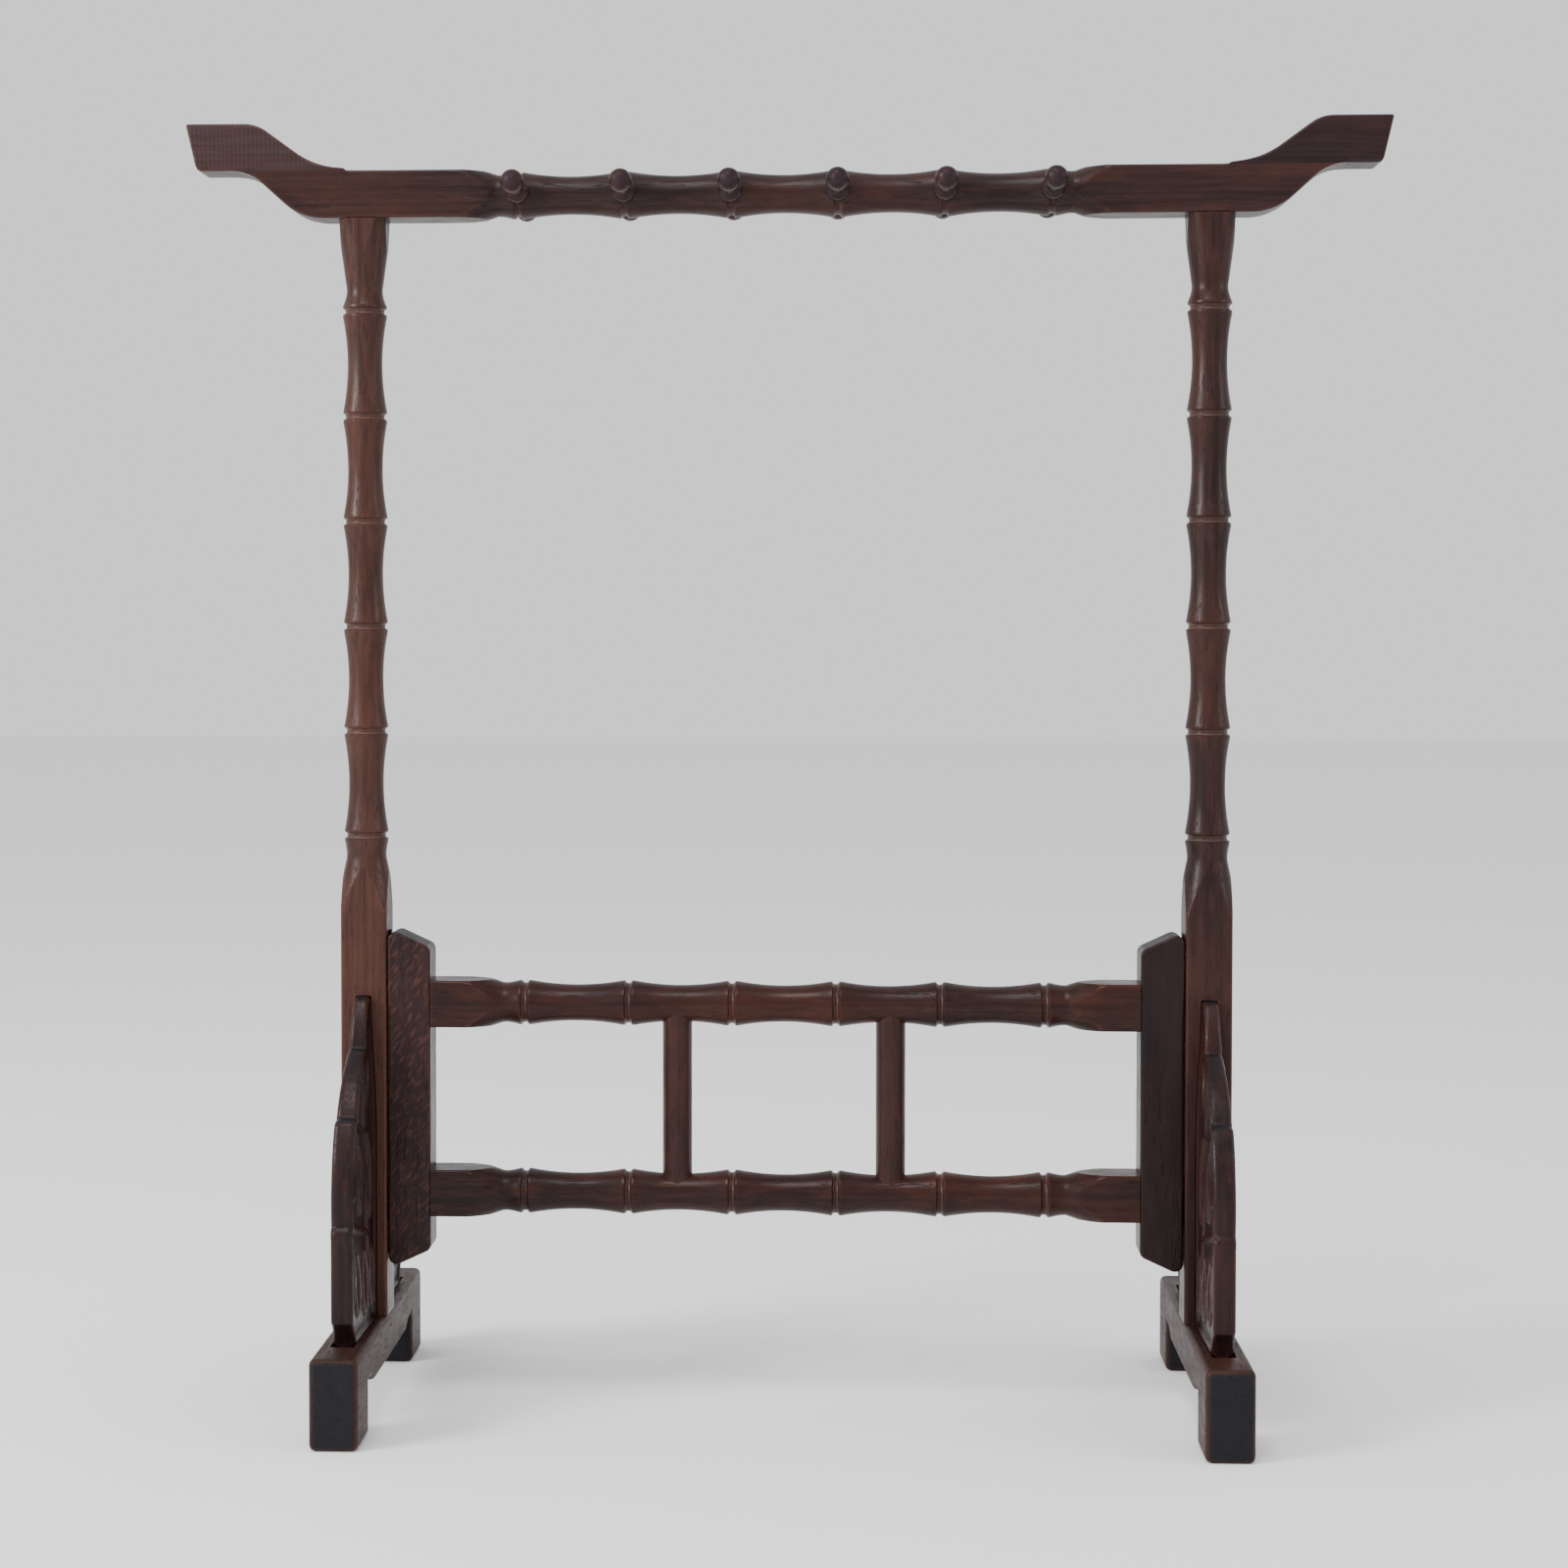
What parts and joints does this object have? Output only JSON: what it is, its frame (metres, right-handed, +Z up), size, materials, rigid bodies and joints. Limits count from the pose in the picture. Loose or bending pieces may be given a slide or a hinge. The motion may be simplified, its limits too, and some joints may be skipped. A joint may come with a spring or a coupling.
{
  "type": "calligraphy brush hanger",
  "caption": "Hardwood brush hanger: bamboo-carved bar with upturned ends and headed pegs, on two turned posts with sledge feet, pierced spandrels and a low railing.",
  "frame": {"origin": "centre of the footprint, on the floor that the pads stand on", "axes": "+X along the beam to the right, -Y to the front, +Z up"},
  "size_m": [0.362, 0.127, 0.388],
  "materials": {
    "wenge": "satin oiled wenge, dark reddish brown with fine dark streaks",
    "dark_wenge": "satin oiled wenge, darker pieces",
    "foot_wenge": "satin oiled wenge with grey end grain",
    "key_wood": "planed, unfinished hardwood"
  },
  "bodies": {
    "end_frames": {"left_post": "wenge", "right_post": "wenge", "left_foot": "foot_wenge", "right_foot": "foot_wenge", "left_front_spandrel": "wenge", "left_back_spandrel": "wenge", "right_front_spandrel": "wenge", "right_back_spandrel": "wenge"},
    "beam": {"beam": "wenge", "left_tip": "wenge", "right_tip": "wenge", "peg_front_1": "dark_wenge", "peg_front_2": "dark_wenge", "peg_front_3": "dark_wenge", "peg_front_4": "dark_wenge", "peg_front_5": "dark_wenge", "peg_front_6": "dark_wenge", "peg_back_1": "dark_wenge", "peg_back_2": "dark_wenge", "peg_back_3": "dark_wenge", "peg_back_4": "dark_wenge", "peg_back_5": "dark_wenge", "peg_back_6": "dark_wenge"},
    "railing": {"upper_rail": "wenge", "lower_rail": "wenge", "left_spindle": "wenge", "right_spindle": "wenge", "left_hook_plate": "dark_wenge", "right_hook_plate": "dark_wenge", "left_upper_key": "key_wood", "left_lower_key": "key_wood", "right_upper_key": "key_wood", "right_lower_key": "key_wood"}
  },
  "joints": [
    {"name": "beam_lift", "type": "slide", "parent": "end_frames", "child": "beam", "axis": [0, 0, 1], "range_m": [0, 0.025]},
    {"name": "railing_lift", "type": "slide", "parent": "end_frames", "child": "railing", "axis": [0, 0, 1], "range_m": [0, 0.012]}
  ]
}
